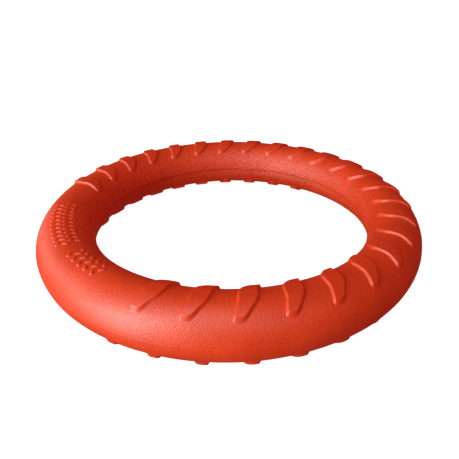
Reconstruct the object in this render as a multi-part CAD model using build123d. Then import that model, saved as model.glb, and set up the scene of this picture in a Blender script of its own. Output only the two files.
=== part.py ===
from build123d import *
from math import cos, radians, sin, sqrt
import os

# A flying ring moulded in closed-cell foam: a round tube bent into a ring, with slanted
# grip ribs on both faces. Millimetres, +Z up. The origin is the centre of the ring, on the
# parting plane of its two mould halves. Angles round the ring turn from +X towards +Y.
# Angles round the tube are 0 at the outer equator, 90 at the crown and 180 at the inner one.

# Tube
RING_RADIUS = 120.5        # ring centre to the middle of the tube
TUBE_RADIUS = 19.5
SKIN_THICKNESS = 2.0       # dense moulded skin over the cellular core
SEAM_LAND_HEIGHT = 4.0     # flat band left on the inner equator where the flash is trimmed

# Grip ribs: each is a leaf shape seen from above, drawn at the +X side of the ring. A smooth
# closed curve passes through these points (distance from the ring's centre, distance across).
RIB_OUTLINE = [
    (134.2, -6.4), (134.0, -4.0), (132.7, -1.8),                  # heel
    (130.2, 0.3), (125.6, 3.7), (120.5, 5.1), (116.1, 5.4),       # side that bulges
    (112.2, 6.4), (108.8, 7.6), (107.0, 7.1), (106.5, 5.0),       # toe
    (107.3, 2.4), (109.3, -0.1), (112.2, -3.1), (115.6, -5.1),    # hollow of the toe
    (120.5, -5.8), (125.7, -6.6), (130.2, -8.2), (133.4, -9.0),   # side back to the heel
]
RIB_RISE = 1.6             # rib surface above the tube surface
RIB_PITCH = 12.0           # degrees round the ring
REST_HEIGHT = 20.9         # the crowns are flat here, so the ring lies without rocking

# Groups of ribs, with plain sectors between them: (ribs, angle of the group's middle). The
# upper face has one plain sector and the lower face has two, opposite each other.
UPPER_RIB_GROUPS = [(24, 27.7)]
LOWER_RIB_GROUPS = [(10, 111.7), (10, 291.7)]
LOWER_STRAIGHTENING = 0.31  # the lower ribs lean less: mm moved across per mm of distance

# Raised pips in the upper plain sector: (first angle, last angle, columns, tube angle of
# each row). Odd rows sit half a column further round and lean the other way.
PIP_LENGTH = 4.0
PIP_WIDTH = 2.0
PIP_RISE = 0.7
PIP_CLEARANCE = 0.01       # keeps a pip's straight-cut foot out of the curving skin
PIP_TURN = 35.0            # degrees that a pip leans from the tube's cross-section
PIP_PANELS = [
    (184.5, 210.5, 11, (71.0, 83.0, 95.0, 107.0)),
    (218.0, 230.0, 5, (77.0, 90.0, 103.0)),
]

# Worked out from the sizes above
CORE_RADIUS = TUBE_RADIUS - SKIN_THICKNESS
SEAM_LAND_RADIUS = RING_RADIUS - sqrt(TUBE_RADIUS**2 - (SEAM_LAND_HEIGHT / 2) ** 2)


def foam_core():
    """The light cellular middle of the tube."""
    return Torus(RING_RADIUS, CORE_RADIUS)


def upper_skin():
    """The half of the dense skin above the parting plane, with its half of the seam land."""
    wall = Circle(TUBE_RADIUS) - Circle(CORE_RADIUS)
    above = Pos(0, TUBE_RADIUS) * Rectangle(3 * TUBE_RADIUS, 2 * TUBE_RADIUS)
    section = Plane.XZ * Pos(RING_RADIUS, 0) * (wall & above)
    hole = Cylinder(SEAM_LAND_RADIUS, 2 * TUBE_RADIUS)
    return revolve(section, Axis.Z) - hole


def raised_layer(rise):
    """The space between the tube's surface and a surface that stands rise above it."""
    return Torus(RING_RADIUS, TUBE_RADIUS + rise) - Torus(RING_RADIUS, TUBE_RADIUS)


def rib(straightening):
    """One rib of the upper face at the +X side: upright walls and a flat on its crown."""
    points = [
        (distance, across + straightening * (distance - RING_RADIUS))
        for distance, across in RIB_OUTLINE
    ]
    outline = make_face(Spline(points, periodic=True))
    return extrude(outline, REST_HEIGHT) & raised_layer(RIB_RISE)


def rib_angles(groups):
    """Angles of a face's ribs: each group is spaced evenly about its middle."""
    return [
        middle + (i - (count - 1) / 2) * RIB_PITCH
        for count, middle in groups
        for i in range(count)
    ]


def turned_copies(solid, angles):
    """Separate copies of a solid, turned round the ring."""
    return [Rot(Z=angle) * solid for angle in angles]


def straight_tube(radius):
    """The tube at the +X side of the ring, taken as straight: true over a pip's width."""
    return Pos(RING_RADIUS, 0, 0) * Rot(X=90) * Cylinder(radius, 2 * PIP_LENGTH)


def pip(tube_angle, lean):
    """One raised pip at the +X side of the ring, at an angle round the tube."""
    out = Vector(cos(radians(tube_angle)), 0, sin(radians(tube_angle)))
    along = Vector(-out.Z, 0, out.X)
    foot = Vector(RING_RADIUS, 0, 0) + out * TUBE_RADIUS
    outline = Plane(foot, along, out) * Rot(Z=lean) * SlotOverall(PIP_LENGTH, PIP_WIDTH)
    column = extrude(outline, 2 * PIP_RISE, both=True)
    top = straight_tube(TUBE_RADIUS + PIP_RISE)
    return (column & top) - straight_tube(TUBE_RADIUS + PIP_CLEARANCE)


def raised_pips():
    """All the pips: staggered rows in the two panels, leaning to and fro."""
    pips = []
    for first, last, columns, tube_angles in PIP_PANELS:
        step = (last - first) / (columns - 1)
        for row, tube_angle in enumerate(tube_angles):
            odd = row % 2
            angles = [first + (i + odd / 2) * step for i in range(columns)]
            pips += turned_copies(pip(tube_angle, PIP_TURN * (1 - 2 * odd)), angles)
    return pips


def save(node, solids):
    """Write one node's solids to its own file."""
    bodies = [solid for shape in solids for solid in shape.solids()]
    export_step(Compound(label=node, children=bodies), f"parts/{node}.step")


os.makedirs("parts", exist_ok=True)

turn_over = Rot(X=180)
skin = upper_skin()
upper_rib = rib(0.0)
lower_rib = turn_over * rib(LOWER_STRAIGHTENING)

save("foam_core", [foam_core()])
save("upper_skin", [skin])
save("lower_skin", [turn_over * skin])
save("upper_grip_ribs", turned_copies(upper_rib, rib_angles(UPPER_RIB_GROUPS)))
save("lower_grip_ribs", turned_copies(lower_rib, rib_angles(LOWER_RIB_GROUPS)))
save("raised_pips", raised_pips())
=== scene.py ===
import bpy
import math
import numpy as np
from mathutils import Matrix, Vector


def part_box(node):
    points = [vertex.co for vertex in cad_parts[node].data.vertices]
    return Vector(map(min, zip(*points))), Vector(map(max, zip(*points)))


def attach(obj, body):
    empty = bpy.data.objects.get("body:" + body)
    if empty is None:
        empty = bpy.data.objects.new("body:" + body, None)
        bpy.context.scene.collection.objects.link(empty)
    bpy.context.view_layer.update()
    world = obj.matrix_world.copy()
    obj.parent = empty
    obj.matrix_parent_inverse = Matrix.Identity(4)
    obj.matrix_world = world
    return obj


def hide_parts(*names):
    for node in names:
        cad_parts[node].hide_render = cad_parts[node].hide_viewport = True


# A moulded foam flying ring: grained skin in two halves, slanted grip ribs on both faces and
# a patch of plain raised pips. Metres, +Z up, the ring's centre at the origin. An angle round
# the ring is measured from +X towards +Y. An angle round the tube is 0 at the outer equator,
# 90 at the upper crown, 180 at the inner equator and 270 at the lower crown.

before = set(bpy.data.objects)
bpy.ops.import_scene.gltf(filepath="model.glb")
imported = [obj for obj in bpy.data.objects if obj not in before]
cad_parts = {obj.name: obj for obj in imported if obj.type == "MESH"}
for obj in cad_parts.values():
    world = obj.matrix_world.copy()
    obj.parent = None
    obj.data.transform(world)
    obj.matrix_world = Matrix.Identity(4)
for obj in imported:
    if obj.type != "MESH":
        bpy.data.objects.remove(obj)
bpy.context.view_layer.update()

MM = 0.001

# ---------------------------------------------------------------- sizes from the frame
SKIN_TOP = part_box("upper_skin")[1]
TUBE_RADIUS = SKIN_TOP.z
RING_RADIUS = SKIN_TOP.x - TUBE_RADIUS
REST_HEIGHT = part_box("upper_grip_ribs")[1].z

# ---------------------------------------------------------------- moulded shape
SKIN_THICKNESS = 1.95 * MM
SKIN_STEPS_ROUND = 720
SKIN_STEPS_OUTSIDE = 100
SKIN_STEPS_INSIDE = 12
SEAM_CROWDING = 0.8          # how much closer the mesh lines lie at the two seams
SHARP_ANGLE = 50.0           # degrees between two faces past which their edge looks sharp

LIP_DEPTH = 0.90 * MM        # the lower half sits back under the upper half's lip
LIP_STEP = 0.30 * MM         # the step is this sharp
LIP_REACH = 5.0 * MM         # and eases back to the tube over this length
SEAM_RIDGE = 0.07 * MM       # flash line left on the outer equator
SEAM_RIDGE_WIDTH = 0.45 * MM
UNEVENNESS = 0.10 * MM       # slow unevenness of the foam's surface
# waves round the ring, waves round the tube, and where each starts
SLOW_WAVES = [(5, 2, 0.4), (9, -3, 2.1), (14, 1, 4.0), (23, 4, 1.3)]

# Rib outline seen from above at the +X side, in mm: distance from the ring's centre, and
# distance across. A smooth closed curve passes through these points, anticlockwise.
RIB_OUTLINE = [
    (134.2, -6.4), (134.0, -4.0), (132.7, -1.8),                  # heel
    (130.2, 0.3), (125.6, 3.7), (120.5, 5.1), (116.1, 5.4),       # side that bulges
    (112.2, 6.4), (108.8, 7.6), (107.0, 7.1), (106.5, 5.0),       # toe
    (107.3, 2.4), (109.3, -0.1), (112.2, -3.1), (115.6, -5.1),    # hollow of the toe
    (120.5, -5.8), (125.7, -6.6), (130.2, -8.2), (133.4, -9.0),   # side back to the heel
]
RIB_RISE = 1.6 * MM
RIB_FOOT = 0.55 * MM         # the wall starts this far outside the outline
RIB_SHOULDER = 0.70 * MM     # and reaches the crown this far inside it
RIB_SAMPLES = 96             # points round the outline
RIB_WALL_RINGS = 11
RIB_CROWN_COLUMNS = 12
RIB_PITCH = 12.0             # degrees round the ring
UPPER_RIB_GROUPS = [(24, 27.7)]              # ribs, and the angle of the group's middle
LOWER_RIB_GROUPS = [(10, 111.7), (10, 291.7)]
LOWER_STRAIGHTENING = 0.31   # the lower ribs lean less: mm moved across per mm of distance
CURVE_STEPS = 40             # steps between two points of an outline

PIP_LENGTH = 4.0             # mm
PIP_WIDTH = 2.0
PIP_RISE = 0.7 * MM
PIP_FOOT = 0.40 * MM
PIP_SHOULDER = 0.75 * MM
PIP_SAMPLES = 28             # points round the outline
PIP_WALL_RINGS = 7
PIP_CROWN_COLUMNS = 4
PIP_TURN = 35.0              # degrees of lean, one way and the other in alternate rows
# first angle, last angle, columns, angle round the tube of each row
PIP_PANELS = [(184.5, 210.5, 11, (71.0, 83.0, 95.0, 107.0)), (218.0, 230.0, 5, (77.0, 90.0, 103.0))]

RELIEF_SINK = 0.5 * MM       # how far a rib or pip reaches under the skin's surface


def smooth(t):
    """0 to 1 with level ends."""
    t = np.clip(t, 0.0, 1.0)
    return t * t * (3.0 - 2.0 * t)


def make_object(name, points, faces, body="root"):
    """A smooth-shaded mesh object that rides on a body."""
    mesh = bpy.data.meshes.new(name)
    mesh.from_pydata(points.tolist(), [], faces)
    mesh.polygons.foreach_set("use_smooth", [True] * len(mesh.polygons))
    mesh.set_sharp_from_angle(angle=math.radians(SHARP_ANGLE))
    mesh.update()
    obj = bpy.data.objects.new(name, mesh)
    bpy.context.scene.collection.objects.link(obj)
    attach(obj, body)
    return obj


# ---------------------------------------------------------------- skin
def slow_waves(around, tube):
    """Mean of a few long waves over the ring, from -1 to 1; angles in radians."""
    waves = [np.sin(ring * around + section * tube + start) for ring, section, start in SLOW_WAVES]
    return sum(waves) / len(waves)


def skin_rise(around, tube):
    """Height of the skin over the plain tube; angles in radians."""
    below_seam = TUBE_RADIUS * np.maximum(tube - math.pi, 0.0)
    step = 1.0 - np.exp(-below_seam / LIP_STEP)
    lip = -LIP_DEPTH * step * np.exp(-((below_seam / LIP_REACH) ** 2))
    from_outer = TUBE_RADIUS * np.minimum(tube, 2 * math.pi - tube)
    ridge = SEAM_RIDGE * np.exp(-((from_outer / SEAM_RIDGE_WIDTH) ** 2))
    return lip + ridge + UNEVENNESS * (slow_waves(around, tube) - 1.0)


def tube_points(around, tube, radius):
    """Points at angles round the ring and the tube, at a radius from the tube's middle."""
    out = RING_RADIUS + radius * np.cos(tube)
    return np.stack([out * np.cos(around), out * np.sin(around), radius * np.sin(tube)], -1)


def skin_half(name, upper):
    """One half of the skin: a closed shell between the parting plane's two seams."""
    t = np.linspace(0.0, 1.0, SKIN_STEPS_OUTSIDE + 1)
    crowded = t - SEAM_CROWDING * np.sin(2 * math.pi * t) / (2 * math.pi)
    start = 0.0 if upper else math.pi
    outside = start + math.pi * crowded
    inside = start + math.pi * np.linspace(1.0, 0.0, SKIN_STEPS_INSIDE + 1)
    tube = np.concatenate([outside, inside])
    around = np.linspace(0.0, 2 * math.pi, SKIN_STEPS_ROUND, endpoint=False)
    around, tube = np.meshgrid(around, tube, indexing="ij")
    is_outside = np.arange(tube.shape[1]) < len(outside)
    rise = np.where(is_outside, skin_rise(around, tube), -SKIN_THICKNESS)
    points = tube_points(around, tube, TUBE_RADIUS + rise)
    return make_object(name, points.reshape(-1, 3), grid_faces(*tube.shape))


def grid_faces(rows, columns):
    """Quads over a grid that closes on itself both ways, facing out."""
    index = np.arange(rows * columns).reshape(rows, columns)
    next_row = np.roll(index, -1, 0)
    corners = [index, next_row, np.roll(next_row, -1, 1), np.roll(index, -1, 1)]
    return np.stack(corners, -1).reshape(-1, 4).tolist()


# ---------------------------------------------------------------- raised relief
def closed_curve(corners, samples):
    """Points evenly spaced along a smooth closed curve, and the curve's outward normals."""
    p1 = np.array(corners)
    p0, p2, p3 = (np.roll(p1, shift, 0) for shift in (1, -1, -2))
    t = np.linspace(0.0, 1.0, CURVE_STEPS, endpoint=False)[None, :, None]
    p0, p1, p2, p3 = (p[:, None, :] for p in (p0, p1, p2, p3))
    bend = 2 * p0 - 5 * p1 + 4 * p2 - p3
    curl = 3 * p1 - 3 * p2 + p3 - p0
    curve = (p1 + 0.5 * ((p2 - p0) * t + bend * t**2 + curl * t**3)).reshape(-1, 2)
    curve = np.concatenate([curve, curve[:1]])
    steps = np.linalg.norm(np.diff(curve, axis=0), axis=1)
    length = np.concatenate([[0.0], np.cumsum(steps)])
    at = np.linspace(0.0, length[-1], samples, endpoint=False)
    points = np.stack([np.interp(at, length, curve[:, i]) for i in (0, 1)], -1)
    along = np.roll(points, -1, 0) - np.roll(points, 1, 0)
    along /= np.linalg.norm(along, axis=1)[:, None]
    return points, np.stack([along[:, 1], -along[:, 0]], -1)


def relief_shape(outline, rise, foot, shoulder, wall_rings, columns):
    """Plan points, heights and faces of a closed raised shape over an outline in metres.

    Rings of samples climb the wall. Rows that run from one side of the outline to the other
    fill the crown, and plain faces close the hidden base.
    """
    edge, normal = outline
    samples = len(edge)
    share = np.linspace(0.0, 1.0, wall_rings)
    offsets = np.concatenate([[foot], foot - share * (foot + shoulder)])
    heights = np.concatenate([[-RELIEF_SINK], rise * smooth(share)])
    plan = [edge + offset * normal for offset in offsets]
    height = [np.full(samples, h) for h in heights]
    faces = ring_faces(len(offsets), samples)

    left = np.arange(1, samples // 2)
    right = samples - left
    faces += row_faces(np.stack([right, left], -1), 0, samples // 2)
    across = np.linspace(0.0, 1.0, columns + 1)[None, 1:-1, None]
    inside = plan[-1][left][:, None] * (1 - across) + plan[-1][right][:, None] * across
    plan.append(inside.reshape(-1, 2))
    height.append(np.full(len(plan[-1]), rise))
    top = (len(offsets) - 1) * samples
    inner = len(offsets) * samples + np.arange(len(plan[-1])).reshape(len(left), -1)
    rows = np.column_stack([top + left, inner, top + right])
    faces += row_faces(rows, top, top + samples // 2)
    return np.concatenate(plan), np.concatenate(height), faces


def ring_faces(rings, samples):
    """Quads between stacked rings of samples."""
    low = np.arange(samples) + samples * np.arange(rings - 1)[:, None]
    beside = np.roll(low, -1, 1)
    quads = np.stack([low, beside, beside + samples, low + samples], -1)
    return [tuple(quad) for quad in quads.reshape(-1, 4).tolist()]


def row_faces(rows, first, last):
    """Faces over rows of points that run from a single first point to a single last one."""
    a, b = rows[:-1, :-1], rows[1:, :-1]
    quads = np.stack([a, b, rows[1:, 1:], rows[:-1, 1:]], -1).reshape(-1, 4).tolist()
    faces = [tuple(quad) for quad in quads]
    faces += [(first, p, q) for p, q in zip(rows[0, :-1].tolist(), rows[0, 1:].tolist())]
    faces += [(last, q, p) for p, q in zip(rows[-1, :-1].tolist(), rows[-1, 1:].tolist())]
    return faces


def copies(one, faces, angles):
    """A shape's points and faces, repeated at angles round the ring."""
    points = np.concatenate([turned(one, angle) for angle in angles])
    starts = len(one) * np.arange(len(angles))
    return points, [tuple(start + i for i in face) for start in starts.tolist() for face in faces]


def turned(points, angle):
    """Points turned round the ring's axis."""
    return points @ np.array(Matrix.Rotation(math.radians(angle), 3, "Z")).T


def upright(plan, height):
    """Raises plan points to a height over the tube, along the mould's draw direction."""
    from_middle = np.hypot(plan[:, 0], plan[:, 1]) - RING_RADIUS
    radius = TUBE_RADIUS + height
    z = np.sqrt(np.maximum(radius**2 - from_middle**2, 0.0))
    return np.column_stack([plan, np.minimum(z, REST_HEIGHT)])


def rib_angles(groups):
    """Angles of a face's ribs: each group is spaced evenly about its middle."""
    return [
        middle + (i - (count - 1) / 2) * RIB_PITCH
        for count, middle in groups
        for i in range(count)
    ]


def rib_outline(straightening):
    """A rib's outline in mm, leaning less by some mm across per mm of distance."""
    middle = RING_RADIUS / MM
    return [(away, across + straightening * (away - middle)) for away, across in RIB_OUTLINE]


def rib_set(name, angles, upper):
    """All the ribs of one face as one mesh of separate closed shells."""
    edge, normal = closed_curve(rib_outline(0.0 if upper else LOWER_STRAIGHTENING), RIB_SAMPLES)
    profile = (RIB_RISE, RIB_FOOT, RIB_SHOULDER, RIB_WALL_RINGS, RIB_CROWN_COLUMNS)
    plan, height, faces = relief_shape((edge * MM, normal), *profile)
    one = upright(plan, height)
    if not upper:
        one = one * np.array([1.0, -1.0, -1.0])
    return make_object(name, *copies(one, faces, angles))


def wrapped(plan, height, tube_angle, lean):
    """Lays plan points on the tube at an angle round it: x runs up the section, y along the ring."""
    turn = math.radians(lean)
    x = plan[:, 0] * math.cos(turn) - plan[:, 1] * math.sin(turn)
    y = plan[:, 0] * math.sin(turn) + plan[:, 1] * math.cos(turn)
    tube = math.radians(tube_angle) + x / TUBE_RADIUS
    around = y / (RING_RADIUS + TUBE_RADIUS * math.cos(math.radians(tube_angle)))
    return tube_points(-around, tube, TUBE_RADIUS + height)


def slot_outline(length, width, samples):
    """A slot with round ends along x: evenly spaced points and their outward normals."""
    turn = np.linspace(0.0, 2 * math.pi, samples, endpoint=False) + math.pi / samples
    normal = np.stack([np.cos(turn), np.sin(turn)], -1)
    ends = np.sign(normal[:, :1]) * np.array([[(length - width) / 2, 0.0]])
    return ends + normal * width / 2, normal


def pip_set(name):
    """All the raised pips, in staggered rows that lean to and fro."""
    edge, normal = slot_outline(PIP_LENGTH, PIP_WIDTH, PIP_SAMPLES)
    profile = (PIP_RISE, PIP_FOOT, PIP_SHOULDER, PIP_WALL_RINGS, PIP_CROWN_COLUMNS)
    plan, height, faces = relief_shape((edge * MM, normal), *profile)
    points, all_faces = [], []
    for first, last, columns, tube_angles in PIP_PANELS:
        half_step = (last - first) / (columns - 1) / 2
        for row, tube_angle in enumerate(tube_angles):
            odd = row % 2
            one = wrapped(plan, height, tube_angle, PIP_TURN * (1 - 2 * odd))
            angles = np.linspace(first, last, columns) + half_step * odd
            row_points, row_of_faces = copies(one, faces, angles)
            all_faces += [tuple(len(points) + i for i in face) for face in row_of_faces]
            points += row_points.tolist()
    return make_object(name, np.array(points), all_faces)


# ---------------------------------------------------------------- materials
FOAM_IOR = 1.5
WAXY_LEVEL = 1.0             # specular level of a waxy skin, glossier than bare foam
MOTTLE_SCALE = 38.0          # slow mottle of the colour
MOTTLE_DETAIL = 5.0
MOTTLE_EDGES = (0.36, 0.64)  # the noise between these runs from one colour to the other
PATCH_SCALE = 130.0          # patches of smoother and rougher skin
PATCH_DETAIL = 3.0
PEBBLE_SMOOTHNESS = 0.4
PORE_SCALE = 2.5             # the pores' noise against the pebbles' scale
PORE_DETAIL = 2.0
PORE_SHARE = 0.35            # the pores' height against the pebbles'
GRAIN_MIDDLE = 0.5           # height taken as neither raised nor sunk
INNER_WALL_GRAIN = 3.5           # how much deeper the grain, and its painted light and shade, are on the inner wall
INNER_WALL_SPAN = 0.90 * TUBE_RADIUS      # the grain, its painted light and shade, and the painted seam shading deepen over this distance inwards
GRAIN_HEIGHTS = (-2.0, 2.0)  # grain heights that the painted shades below belong to
# painted light on the pebbles' tops and painted shade in the hollows between them
GRAIN_PAINTED_SHADING = (1.45, 0.75)
SEAM_PAINTED_SHADING_SPAN = (-9.0 * MM, 1.0 * MM)   # heights that the painted seam shading below runs over
# Share of the span, and the inner wall's shade there: a painted shadow, dark in the seam and a
# little dark just below it, and painted light, a little light above it.
SEAM_PAINTED_SHADING = [(0.0, 1.0), (0.60, 1.02), (0.80, 0.95), (0.82, 0.62), (0.88, 0.58), (0.91, 1.12)]


def new_material(name):
    """An empty node material with its Principled shader."""
    material = bpy.data.materials.new(name)
    material.use_nodes = True
    return material, material.node_tree.nodes, material.node_tree.links


def noise(nodes, links, where, scale, detail):
    """Output of a noise that lies still on the object."""
    texture = nodes.new("ShaderNodeTexNoise")
    texture.inputs["Scale"].default_value = scale
    texture.inputs["Detail"].default_value = detail
    links.new(where.outputs["Object"], texture.inputs["Vector"])
    return texture.outputs["Fac"]


def ranged(nodes, links, value, source, target):
    """A node that moves a value from one range into another and holds it there."""
    node = nodes.new("ShaderNodeMapRange")
    limits = zip(("From Min", "From Max", "To Min", "To Max"), (*source, *target))
    for name, limit in limits:
        node.inputs[name].default_value = limit
    links.new(value, node.inputs["Value"])
    return node


def calculated(nodes, links, operation, *values):
    """Output of a calculation on other outputs and plain numbers."""
    node = nodes.new("ShaderNodeMath")
    node.operation = operation
    for socket, value in zip(node.inputs, values):
        if isinstance(value, bpy.types.NodeSocket):
            links.new(value, socket)
        else:
            socket.default_value = value
    return node.outputs["Value"]


def ramp_between(nodes, links, value, stops):
    """Output of a colour ramp through stops, each a place and a colour."""
    ramp = nodes.new("ShaderNodeValToRGB")
    elements = ramp.color_ramp.elements
    for element, (place, colour) in zip(elements, (stops[0], stops[-1])):
        element.position = place
        element.color = (*colour, 1.0)
    for place, colour in stops[1:-1]:
        elements.new(place).color = (*colour, 1.0)
    links.new(value, ramp.inputs["Fac"])
    return ramp.outputs["Color"]


def inner_wall_share(nodes, links, where):
    """Output that runs from 0 on the crown and outer wall to 1 on the ring's inner wall."""
    flat = nodes.new("ShaderNodeVectorMath")
    flat.operation = "MULTIPLY"
    flat.inputs[1].default_value = (1.0, 1.0, 0.0)
    links.new(where.outputs["Object"], flat.inputs[0])
    distance = nodes.new("ShaderNodeVectorMath")
    distance.operation = "LENGTH"
    links.new(flat.outputs["Vector"], distance.inputs[0])
    span = (RING_RADIUS, RING_RADIUS - INNER_WALL_SPAN)
    share = ranged(nodes, links, distance.outputs["Value"], span, (0.0, 1.0))
    share.interpolation_type = "SMOOTHSTEP"
    return share.outputs["Result"]


def seam_painted_shading(nodes, links, where, inner_wall):
    """Output that paints shadow in the inner wall's seam and light above it, by the table above, and
    fades to 1 at the crown.
    """
    parts = nodes.new("ShaderNodeSeparateXYZ")
    links.new(where.outputs["Object"], parts.inputs["Vector"])
    height = ranged(nodes, links, parts.outputs["Z"], SEAM_PAINTED_SHADING_SPAN, (0.0, 1.0))
    stops = [(place, (grey, grey, grey)) for place, grey in SEAM_PAINTED_SHADING]
    shade = ramp_between(nodes, links, height.outputs["Result"], stops)
    faded = ranged(nodes, links, inner_wall, (0.0, 1.0), (1.0, 1.0))
    links.new(shade, faded.inputs["To Max"])
    return faded.outputs["Result"]


def pebbled_grain(nodes, links, where, scale, inner_wall):
    """Output with the grain's height, which is deepest on the inner wall and also sets the colour's
    painted light and shade.
    """
    pebbles = nodes.new("ShaderNodeTexVoronoi")
    pebbles.feature = "SMOOTH_F1"
    pebbles.inputs["Scale"].default_value = scale
    pebbles.inputs["Smoothness"].default_value = PEBBLE_SMOOTHNESS
    links.new(where.outputs["Object"], pebbles.inputs["Vector"])
    pores = noise(nodes, links, where, scale * PORE_SCALE, PORE_DETAIL)
    distance = pebbles.outputs["Distance"]
    height = calculated(nodes, links, "MULTIPLY_ADD", pores, PORE_SHARE, distance)
    centred = calculated(nodes, links, "SUBTRACT", height, GRAIN_MIDDLE)
    inner_deepening = ranged(nodes, links, inner_wall, (0.0, 1.0), (1.0, INNER_WALL_GRAIN))
    return calculated(nodes, links, "MULTIPLY", centred, inner_deepening.outputs["Result"])


def foam_colour(nodes, links, where, colours, shade):
    """Output that mottles between two colours, made lighter or darker by painted light and shade."""
    mottle = noise(nodes, links, where, MOTTLE_SCALE, MOTTLE_DETAIL)
    tint = ramp_between(nodes, links, mottle, list(zip(MOTTLE_EDGES, colours)))
    shaded = nodes.new("ShaderNodeHueSaturation")
    links.new(tint, shaded.inputs["Color"])
    links.new(shade, shaded.inputs["Value"])
    return shaded.outputs["Color"]


def grain_bump(nodes, links, grain, depth):
    """Output with the shading normal of a grain.

    It is inverted because a pebble's middle, which stands proud, has the least height.
    """
    bump = nodes.new("ShaderNodeBump")
    bump.invert = True
    bump.inputs["Strength"].default_value = 1.0
    bump.inputs["Distance"].default_value = depth
    links.new(grain, bump.inputs["Height"])
    return bump.outputs["Normal"]


def foam_material(name, colours, roughness, grain_depth, grain_scale):
    """Moulded foam skin: mottled colour, patchy sheen and a pebbled grain.

    The grain is deepest on the ring's inner wall, and so are the painted light on its pebbles and
    the painted shade in its hollows; the inner seam has a painted shadow.
    """
    material, nodes, links = new_material(name)
    shader = nodes["Principled BSDF"]
    shader.inputs["IOR"].default_value = FOAM_IOR
    shader.inputs["Specular IOR Level"].default_value = WAXY_LEVEL
    where = nodes.new("ShaderNodeTexCoord")
    inner_wall = inner_wall_share(nodes, links, where)
    grain = pebbled_grain(nodes, links, where, grain_scale, inner_wall)
    # painted light on the pebbles and painted shade in the grain's hollows
    grain_painted_shading = ranged(nodes, links, grain, GRAIN_HEIGHTS, GRAIN_PAINTED_SHADING).outputs["Result"]
    # painted shadow in the inner seam and painted light above it
    painted_seam = seam_painted_shading(nodes, links, where, inner_wall)
    shade = calculated(nodes, links, "MULTIPLY", grain_painted_shading, painted_seam)
    colour = foam_colour(nodes, links, where, colours, shade)
    links.new(colour, shader.inputs["Base Color"])
    patches = noise(nodes, links, where, PATCH_SCALE, PATCH_DETAIL)
    sheen = ranged(nodes, links, patches, (0.0, 1.0), roughness)
    links.new(sheen.outputs["Result"], shader.inputs["Roughness"])
    links.new(grain_bump(nodes, links, grain, grain_depth), shader.inputs["Normal"])
    return material


def paint(obj, material):
    """Gives a piece its one material."""
    obj.data.materials.clear()
    obj.data.materials.append(material)


SKIN_COLOURS = ((0.61, 0.051, 0.004), (0.69, 0.065, 0.008))
RIB_COLOURS = ((0.63, 0.054, 0.005), (0.67, 0.060, 0.007))
CORE_COLOURS = ((0.66, 0.080, 0.035), (0.76, 0.110, 0.050))

# colours, roughness from and to, grain depth, pebbles per metre
skin_foam = foam_material("skin_foam", SKIN_COLOURS, (0.41, 0.53), 0.11 * MM, 780.0)
rib_foam = foam_material("rib_foam", RIB_COLOURS, (0.40, 0.50), 0.03 * MM, 900.0)
core_foam = foam_material("core_foam", CORE_COLOURS, (0.75, 0.90), 0.30 * MM, 1400.0)

# ---------------------------------------------------------------- pieces
upper_skin = skin_half("upper_skin_shell", upper=True)
paint(upper_skin, skin_foam)
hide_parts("upper_skin")

lower_skin = skin_half("lower_skin_shell", upper=False)
paint(lower_skin, skin_foam)
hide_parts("lower_skin")

upper_ribs = rib_set("upper_ribs", rib_angles(UPPER_RIB_GROUPS), upper=True)
paint(upper_ribs, rib_foam)
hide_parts("upper_grip_ribs")

lower_ribs = rib_set("lower_ribs", rib_angles(LOWER_RIB_GROUPS), upper=False)
paint(lower_ribs, rib_foam)
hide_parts("lower_grip_ribs")

pips = pip_set("plain_pips")
paint(pips, rib_foam)
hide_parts("raised_pips")

paint(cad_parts["foam_core"], core_foam)

# ---------------------------------------------------------------- floor, light, camera
FLOOR_SIDE = 12.0
FLOOR_GAP = 0.05 * MM        # keeps the floor out of the ribs' flats
FLOOR_GREY = (0.9, 0.9, 0.9, 1.0)
FLOOR_ROUGHNESS = 0.9
WHITE = (1.0, 1.0, 1.0, 1.0)
AMBIENT = 0.35
AMBIENT_COLOUR = (1.0, 0.15, 0.10, 1.0)   # strongly red, so the shaded side stays a clear red
# Direction round the ring and upwards in degrees, distance and side in metres, power in watts.
# The table's glow comes from under the floor, which doesn't stop it.
SOFT_LIGHTS = {
    "key_upper": (224.0, 30.0, 1.3, 0.50, 4.5),
    "key": (222.0, 11.0, 1.3, 0.50, 5.0),
    "table_glow": (219.0, -12.0, 1.3, 0.50, 4.2),
    "wing": (203.0, 8.0, 1.3, 0.50, 2.6),
    "side": (172.0, 15.0, 1.3, 0.50, 1.8),
    "back_edge": (148.0, 4.0, 1.3, 0.50, 0.7),
    "front": (280.0, 35.0, 1.4, 0.70, 1.2),
    "high_front": (240.0, 60.0, 1.4, 0.70, 3.0),
}


def pale_floor():
    """A plain white floor that glows by itself, and neither lights nor shades the ring."""
    bpy.ops.mesh.primitive_plane_add(size=FLOOR_SIDE, location=(0, 0, -REST_HEIGHT - FLOOR_GAP))
    floor = bpy.context.object
    floor.name = "floor"
    material, nodes, _ = new_material("floor_white")
    shader = nodes["Principled BSDF"]
    shader.inputs["Base Color"].default_value = FLOOR_GREY
    shader.inputs["Roughness"].default_value = FLOOR_ROUGHNESS
    shader.inputs["Emission Color"].default_value = WHITE
    shader.inputs["Emission Strength"].default_value = 1.0
    floor.data.materials.append(material)
    floor.visible_diffuse = False
    floor.visible_glossy = False
    floor.visible_shadow = False


def soft_light(name, azimuth, elevation, distance, side, power):
    """A square soft box that faces the ring's centre and stays out of the picture."""
    data = bpy.data.lights.new(name, "AREA")
    data.size = side
    data.energy = power
    light = bpy.data.objects.new(name, data)
    a, e = math.radians(azimuth), math.radians(elevation)
    towards = Vector((math.cos(a) * math.cos(e), math.sin(a) * math.cos(e), math.sin(e)))
    light.location = towards * distance
    light.rotation_euler = towards.to_track_quat("Z", "Y").to_euler()
    light.visible_camera = False
    bpy.context.scene.collection.objects.link(light)


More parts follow.
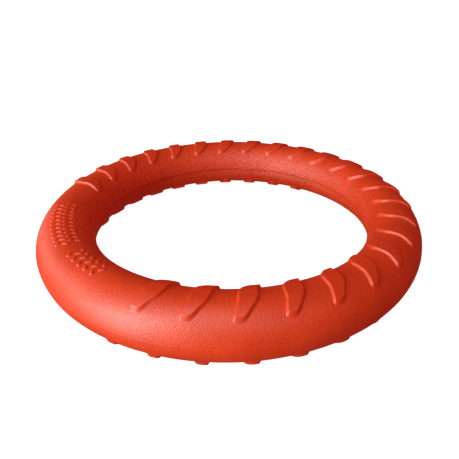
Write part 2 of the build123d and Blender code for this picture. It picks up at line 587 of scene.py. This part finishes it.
def pale_world():
    """A white backdrop for the camera and a dim red even light on the ring."""
    world = bpy.data.worlds.new("world")
    bpy.context.scene.world = world
    world.use_nodes = True
    nodes, links = world.node_tree.nodes, world.node_tree.links
    seen = nodes.new("ShaderNodeBackground")
    seen.inputs["Color"].default_value = WHITE
    nodes["Background"].inputs["Color"].default_value = AMBIENT_COLOUR
    nodes["Background"].inputs["Strength"].default_value = AMBIENT
    ray = nodes.new("ShaderNodeLightPath")
    choose = nodes.new("ShaderNodeMixShader")
    links.new(ray.outputs["Is Camera Ray"], choose.inputs["Fac"])
    links.new(nodes["Background"].outputs["Background"], choose.inputs[1])
    links.new(seen.outputs["Background"], choose.inputs[2])
    links.new(choose.outputs["Shader"], nodes["World Output"].inputs["Surface"])


CAMERA_ELEVATION = 28.63     # degrees
CAMERA_DISTANCE = 3.0861 * RING_RADIUS    # from the ring's centre
CAMERA_AIM = Vector((0.2318, 0.4431, 0.0)) * RING_RADIUS
CAMERA_ROLL = 1.480          # degrees
CAMERA_LENS = 37.57          # mm
CAMERA_SENSOR = 36.0         # mm
CAMERA_SHIFT = (-0.0790, -0.0871)
CAMERA_CLIP = (0.02, 50.0)   # metres


def front_camera():
    """A camera in front of the ring, looking down on it."""
    data = bpy.data.cameras.new("camera")
    data.sensor_width = CAMERA_SENSOR
    data.lens = CAMERA_LENS
    data.shift_x, data.shift_y = CAMERA_SHIFT
    data.clip_start, data.clip_end = CAMERA_CLIP
    camera = bpy.data.objects.new("camera", data)
    e = math.radians(CAMERA_ELEVATION)
    camera.location = Vector((0.0, -math.cos(e), math.sin(e))) * CAMERA_DISTANCE
    look = (CAMERA_AIM - camera.location).to_track_quat("-Z", "Y")
    roll = Matrix.Rotation(math.radians(CAMERA_ROLL), 3, "Z").to_quaternion()
    camera.rotation_mode = "QUATERNION"
    camera.rotation_quaternion = look @ roll
    bpy.context.scene.collection.objects.link(camera)
    bpy.context.scene.camera = camera


pale_floor()
pale_world()
for light_name, settings in SOFT_LIGHTS.items():
    soft_light(light_name, *settings)
front_camera()
bpy.context.scene.view_settings.view_transform = "Standard"
